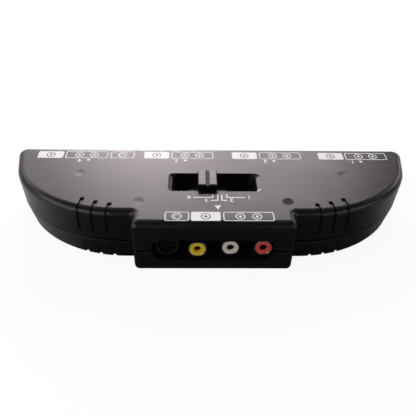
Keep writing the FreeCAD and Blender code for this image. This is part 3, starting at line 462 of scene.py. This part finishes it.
# Drawn spring wire and the turned plunger: darker and sharper in shine than the tinned sheet.
spring_steel = plated_metal("spring_steel", "#8c8c8a", "#747472", gloss=(0.24, 0.32),
                            streak_mm=0.2, streak_depth_mm=0.001)
dress(tinned_steel, "switch_frame")
dress(spring_steel, "detent_plunger", "detent_spring")
dress(black_pbt, "switch_base", "switch_slider")
dress(spring_bronze, "switch_clips", "switch_pads")
low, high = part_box("detent_spring")
coil_radius = ((high[0] - low[0]) / MM - SPRING_WIRE) / 2
coil_pitch = ((high[1] - low[1]) / MM - SPRING_WIRE) / SPRING_TURNS
coil_x = (low[0] + high[0]) / 2 / MM
coil_z = (low[2] + high[2]) / 2 / MM
coil_end = low[1] / MM + SPRING_WIRE / 2
route = [(coil_x + x, coil_end + z, coil_z + y)
         for x, y, z in helix(0, 0, 0, coil_radius, coil_pitch, SPRING_TURNS)]
coil = show("spring_coil", wire("spring_coil", [route], SPRING_WIRE), spring_steel,
            "selector")
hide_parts("detent_spring")

# Selector knob
# A grooved block moulded in the same black ABS as the shells. It is pressed on the slider's
# stem, which comes up through the slot of the finger well.

# Rubbed ABS: fingers have polished its grain, so it shines a little more than the shells.
# The grain is drawn at 0.6 mm so that it shows.
rubbed_abs = moulded_plastic("rubbed_black_abs", "#0e0d0e", "#090909", gloss=(0.27, 0.34),
                             grain_mm=0.6, grain_depth_mm=0.02, specular=0.34)
dress(rubbed_abs, "selector_knob")

# Printing on the upper shell
# Thin white screen print that reads from the input side: a field for each group of
# sockets with plain signs in it, numbers, and a scale of four ticks for the selector.

INK_THICKNESS = 0.03
LINE = 0.5
TICK_LINE = 0.7
FIELD_CORNER = 0.9
RING_RADIUS = 2.3
RING_LINE = 0.55
DOT_RADIUS = 0.75
PAIR_REACH = 3.8
PIN_DOT_RADIUS = 0.3
PIN_DOTS = ((-0.9, -0.5), (0.9, -0.5), (-0.55, 0.7), (0.55, 0.7))
DIGIT_SHARE = 0.72
DIGIT_BOLDNESS = 0.09

# The fields along the rear edge in Y and, from the middle of a picture socket, in X
REAR_FIELD = (21.65, 28.15)
PICTURE_REACH = 6.6
SOUND_SPAN = (7.75, 29.8)
ROUND_SPAN = (31.2, 43.6)

# A number and its arrow stand as far to either side of one point in front of the fields
NUMBER_X = 12.9
WIDE_NUMBER_X = 18.0
NUMBER_Y = 19.5
NUMBER_APART = 2.2
NUMBER_HEIGHT = 2.8
ARROW_SIZE = 2.2

# The fields over the output sockets in Y and in X, and the arrow's place and size
FRONT_FIELD = (-30.23, -23.62)
OUTPUT_PICTURE = (-10.6, 2.9)
OUTPUT_SOUND = (4.1, 27.35)
OUTPUT_ROUND = (-22.6, -11.5)
OUTPUT_ARROW = (1.85, -20.25, 3.2)

# Each tick's number, its X, and the X and Y at which its line ends
TICKS = (("4", -0.34, -9.57, -12.43), ("3", 2.0, -1.41, -14.73), ("2", 3.93, 6.55, -14.73),
         ("1", 6.33, 15.0, -12.43))
TICK_TOP = -10.03
TICK_NUMBER_GAP = 2.0
TICK_NUMBER_RISE = 0.2
TICK_NUMBER_HEIGHT = 2.6

# Screen ink: plain white, a touch cool and matt, and flat over the grain.
ink = moulded_plastic("white_ink", "#e3e8e5", "#d2d6d3", gloss=(0.45, 0.55),
                      grain_mm=0.2, grain_depth_mm=0.003)


def ring(x, y):
    return [disc(x, y, RING_RADIUS), disc(x, y, RING_RADIUS - RING_LINE)]


def frame_line(left, right, low, high):
    inner = rounded(left + LINE, right - LINE, low + LINE, high - LINE, FIELD_CORNER - LINE)
    return [rounded(left, right, low, high, FIELD_CORNER), inner]


def print_marks(name, outlines):
    curve = flat_curve(name, outlines, INK_THICKNESS / 2)
    show(name, curve, ink, "housing", (0, 0, TOP + INK_THICKNESS / 2))


def print_number(name, digit, x, y, height):
    """A plain bold digit that reads from the input side."""
    text = bpy.data.curves.new(name, "FONT")
    text.body = digit
    text.size = height / DIGIT_SHARE * MM
    text.align_x = "CENTER"
    text.align_y = "CENTER"
    text.extrude = INK_THICKNESS / 2 * MM
    text.offset = DIGIT_BOLDNESS * MM
    show(name, text, ink, "housing", (x, y, TOP + INK_THICKNESS / 2), math.pi)


def arrow(x, y, size):
    """A small solid triangle that points to the output side."""
    half = size / 2
    return [(x - half, y + half), (x + half, y + half), (x, y - half)]


def pair_sign(middle, y):
    """Two rings with a dot each: a pair of sound sockets."""
    outlines = []
    for x in (middle - PAIR_REACH, middle + PAIR_REACH):
        outlines += ring(x, y) + [disc(x, y, DOT_RADIUS)]
    return outlines


def round_sign(middle, y):
    """A ring with four dots: a round four-pin socket."""
    return ring(middle, y) + [disc(middle + x, y + rise, PIN_DOT_RADIUS) for x, rise in PIN_DOTS]


def field_marks(picture, sound, round_field, low, high):
    """A filled field with a dark ring, a framed pair sign and, where there is one, a round sign."""
    y = (low + high) / 2
    middle = sum(picture) / 2
    outlines = [rounded(*picture, low, high, FIELD_CORNER)]
    outlines += ring(middle, y) + [disc(middle, y, DOT_RADIUS)]
    outlines += frame_line(*sound, low, high) + pair_sign(sum(sound) / 2, y)
    if round_field:
        outlines += frame_line(*round_field, low, high) + round_sign(sum(round_field) / 2, y)
    return outlines


def middle_x(name):
    low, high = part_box(name)
    return (low[0] + high[0]) / 2 / MM


for digit in "1234":
    x = middle_x(f"input_{digit}_video_insert")
    has_round = digit == "4"
    round_field = (x + ROUND_SPAN[0], x + ROUND_SPAN[1]) if has_round else None
    outlines = field_marks((x - PICTURE_REACH, x + PICTURE_REACH),
                           (x + SOUND_SPAN[0], x + SOUND_SPAN[1]), round_field, *REAR_FIELD)
    number_x = x + (WIDE_NUMBER_X if has_round else NUMBER_X)
    outlines.append(arrow(number_x + NUMBER_APART, NUMBER_Y, ARROW_SIZE))
    print_marks(f"input_{digit}_print", outlines)
    print_number(f"input_{digit}_number", digit, number_x - NUMBER_APART, NUMBER_Y, NUMBER_HEIGHT)
outlines = field_marks(OUTPUT_PICTURE, OUTPUT_SOUND, OUTPUT_ROUND, *FRONT_FIELD)
outlines.append(arrow(*OUTPUT_ARROW))
print_marks("output_print", outlines)

half = TICK_LINE / 2
for digit, x, end, y in TICKS:
    sign = 1 if end > x else -1
    tick = [(x - half, TICK_TOP), (x + half, TICK_TOP), (x + half, y + half), (x - half, y + half)]
    line = [(x - sign * half, y - half), (end, y - half), (end, y + half),
            (x - sign * half, y + half)]
    print_marks(f"selector_tick_{digit}", [tick, line])
    print_number(f"selector_number_{digit}", digit, end + sign * TICK_NUMBER_GAP,
                 y + TICK_NUMBER_RISE, TICK_NUMBER_HEIGHT)

# Table
# A pale laminated table, pressed and trimmed, on which the object stands. Seen directly it
# is white with a faint shadow round the object, and from below it is clear.

FLOOR_SIZE = 6000
FLOOR_GAP = 0.05
CONTACT_REACH = 1.0
TABLE_MOTTLE = 60
TABLE_SHADE = (0.18, 0.21)
SEEN_SHADE = 0.97
SHADOW_SHARE = 0.91
SHADOW_REACH = (110, 220)
WHITE = "#ffffff"

# Where gloss sees the table white: the distance behind and beside the object over which that
# fades in, what a step behind counts, the lean to the left, and the fade far to the right
WHITE_START = (50, 180)
BEHIND_SHARE = 0.9
LEFT_LEAN = 0.2
RIGHT_FADE = (500, 150)


def white_share(tree, path, seen_share, gloss_share):
    """How much a ray sees plain white: one share from the camera, another in gloss and glass."""
    bounced = add(tree, "ShaderNodeMath", {0: path.outputs["Is Glossy Ray"],
                                           1: path.outputs["Is Transmission Ray"]},
                  operation="MAXIMUM")
    bounced = add(tree, "ShaderNodeMath", {0: bounced, 1: gloss_share}, operation="MULTIPLY")
    seen = add(tree, "ShaderNodeMath", {0: path.outputs["Is Camera Ray"], 1: seen_share},
               operation="MULTIPLY")
    return add(tree, "ShaderNodeMath", {0: seen, 1: bounced}, operation="MAXIMUM")


mesh = bpy.data.meshes.new("floor")
edge = FLOOR_SIZE / 2
mesh.from_pydata([point(x * edge, y * edge, -FLOOR_GAP)
                  for x, y in ((-1, -1), (1, -1), (1, 1), (-1, 1))], [], [(0, 1, 2, 3)])
floor = bpy.data.objects.new("floor", mesh)
bpy.context.scene.collection.objects.link(floor)

# Matt white laminate: it lights the object as little as a table in shade would, with a
# mottle of 60 mm, and shows as clean white.
material, tree = new_material("pale_table")
mesh.materials.append(material)
path = add(tree, "ShaderNodeLightPath", {})
place = add(tree, "ShaderNodeTexCoord", {}).outputs["Object"]
mottle = add(tree, "ShaderNodeTexNoise", {"Vector": place, "Scale": 1 / (TABLE_MOTTLE * MM)})
shade = add(tree, "ShaderNodeMapRange",
            {"Value": mottle, "To Min": TABLE_SHADE[0], "To Max": TABLE_SHADE[1]})
shade = add(tree, "ShaderNodeMath", {0: path.outputs["Is Camera Ray"], 1: SEEN_SHADE, 2: shade},
            operation="MULTIPLY_ADD")
matte = add(tree, "ShaderNodeBsdfDiffuse", {"Color": shade})

# What gloss sees: white well behind and beside the object, and where it nearly touches
parts = add(tree, "ShaderNodeSeparateXYZ", {0: place})
beside = add(tree, "ShaderNodeMath", {0: parts.outputs["X"]}, operation="ABSOLUTE")
beside = add(tree, "ShaderNodeMath", {0: parts.outputs["X"], 1: -LEFT_LEAN, 2: beside},
             operation="MULTIPLY_ADD")
away = add(tree, "ShaderNodeMath", {0: parts.outputs["Y"], 1: BEHIND_SHARE, 2: beside},
           operation="MULTIPLY_ADD")
away = add(tree, "ShaderNodeMapRange", {"Value": away, "From Min": WHITE_START[0] * MM,
                                        "From Max": WHITE_START[1] * MM})
near = add(tree, "ShaderNodeMapRange", {"Value": parts.outputs["X"],
                                        "From Min": RIGHT_FADE[0] * MM,
                                        "From Max": RIGHT_FADE[1] * MM})
away = add(tree, "ShaderNodeMath", {0: away, 1: near}, operation="MULTIPLY")
contact = add(tree, "ShaderNodeMath", {0: path.outputs["Ray Length"], 1: CONTACT_REACH * MM},
              operation="LESS_THAN")
gloss = add(tree, "ShaderNodeMath", {0: away, 1: contact}, operation="MAXIMUM")

# What the camera sees: white, with a share of the real shadow near the object
reach = add(tree, "ShaderNodeVectorMath", {0: place}, operation="LENGTH")
seen = add(tree, "ShaderNodeMapRange", {"Value": reach, "To Min": SHADOW_SHARE, "To Max": 1.0,
                                        "From Min": SHADOW_REACH[0] * MM,
                                        "From Max": SHADOW_REACH[1] * MM})
glow = add(tree, "ShaderNodeEmission", {"Color": linear(WHITE), "Strength": 1.0})
surface = add(tree, "ShaderNodeMixShader",
              {0: white_share(tree, path, seen, gloss), 1: matte, 2: glow})
backfacing = add(tree, "ShaderNodeNewGeometry", {}).outputs["Backfacing"]
clear = add(tree, "ShaderNodeBsdfTransparent", {})
surface = add(tree, "ShaderNodeMixShader", {0: backfacing, 1: surface, 2: clear})
add(tree, "ShaderNodeOutputMaterial", {"Surface": surface})

# Room and lamps
# A dim room with a white backdrop low down behind the object. Soft rectangular lamps stand
# where the photograph's window, walls and front light are.

ROOM_LIGHT = 0.05
LAMP_DISTANCE = 1100
WINDOW_COLOUR = "#fff3f9"
ROOM_COLOUR = "#fffffb"

# The directions, as parts of a unit step up and back, over which the backdrop fades in
BACKDROP_TOP = (0.35, 0.12)
BACKDROP_SIDES = (0.3, 0.7)

world = bpy.data.worlds.new("room")
world.use_nodes = True
tree = world.node_tree
tree.nodes.clear()
direction = add(tree, "ShaderNodeTexCoord", {}).outputs["Generated"]
parts = add(tree, "ShaderNodeSeparateXYZ", {0: direction})
low_down = add(tree, "ShaderNodeMapRange", {"Value": parts.outputs["Z"],
                                            "From Min": BACKDROP_TOP[0],
                                            "From Max": BACKDROP_TOP[1]})
behind = add(tree, "ShaderNodeMapRange", {"Value": parts.outputs["Y"],
                                          "From Min": BACKDROP_SIDES[0],
                                          "From Max": BACKDROP_SIDES[1]})
backdrop = add(tree, "ShaderNodeMath", {0: low_down, 1: behind}, operation="MULTIPLY")
dim = add(tree, "ShaderNodeBackground", {"Color": linear(WHITE), "Strength": ROOM_LIGHT})
white = add(tree, "ShaderNodeBackground", {"Color": linear(WHITE), "Strength": 1.0})
path = add(tree, "ShaderNodeLightPath", {})
surface = add(tree, "ShaderNodeMixShader",
              {0: white_share(tree, path, 1.0, backdrop), 1: dim, 2: white})
add(tree, "ShaderNodeOutputWorld", {"Surface": surface})
bpy.context.scene.world = world


def lamp(name, bearing, height, width_mm, height_mm, radiance, colour):
    """A soft rectangular lamp that faces the object from a bearing, in degrees to the right of
    straight behind, and a height in degrees, set by how bright its face is."""
    data = bpy.data.lights.new(name, "AREA")
    data.shape = "RECTANGLE"
    data.size = width_mm * MM
    data.size_y = height_mm * MM
    data.energy = radiance * math.pi * data.size * data.size_y
    data.color = linear(colour)[:3]
    across, up = math.radians(bearing), math.radians(height)
    item = bpy.data.objects.new(name, data)
    item.location = LAMP_DISTANCE * MM * Vector((math.cos(up) * math.sin(across),
                                                 math.cos(up) * math.cos(across), math.sin(up)))
    item.rotation_euler = (-item.location).to_track_quat("-Z", "Y").to_euler()
    bpy.context.scene.collection.objects.link(item)


lamp("window_low", -9, 14, 330, 330, 18.0, WINDOW_COLOUR)
lamp("window_high", 4, 32, 630, 330, 9.4, WINDOW_COLOUR)
lamp("window_left", -42, 32, 900, 340, 3.5, WINDOW_COLOUR)
lamp("left_wall", -90, 28, 420, 330, 2.6, ROOM_COLOUR)
lamp("right_wall", 56, 24, 520, 360, 3.6, WINDOW_COLOUR)
lamp("ceiling", 0, 82, 900, 900, 0.3, ROOM_COLOUR)
lamp("front_left", -128, 22, 1300, 500, 3.4, ROOM_COLOUR)
lamp("front_right", 128, 22, 1300, 500, 1.6, ROOM_COLOUR)

# Camera
# It stands above the output side, where the photograph's edges put it, and its lens and its
# turns, which are in radians, are read from them too.

CAMERA_PLACE = (-9.35, -225.5, 185.6)
CAMERA_YAW = -0.0321
CAMERA_PITCH = 0.6541
CAMERA_ROLL = -0.0235
LENS = 48.2
SENSOR = 36.0

look = Matrix(((1, 0, 0), (0, math.sin(CAMERA_PITCH), math.cos(CAMERA_PITCH)),
               (0, math.cos(CAMERA_PITCH), -math.sin(CAMERA_PITCH))))
turn = Matrix.Rotation(CAMERA_YAW, 3, "Z")
tilt = Matrix.Rotation(CAMERA_ROLL, 3, "Z")
right, up, forward = tilt @ look @ turn.transposed()
camera_data = bpy.data.cameras.new("camera")
camera_data.sensor_width = SENSOR
camera_data.lens = LENS
camera = bpy.data.objects.new("camera", camera_data)
placing = Matrix((right, up, -forward)).transposed().to_4x4()
placing.translation = point(*CAMERA_PLACE)
camera.matrix_world = placing
bpy.context.scene.collection.objects.link(camera)
bpy.context.scene.camera = camera
bpy.context.scene.view_settings.view_transform = "Standard"
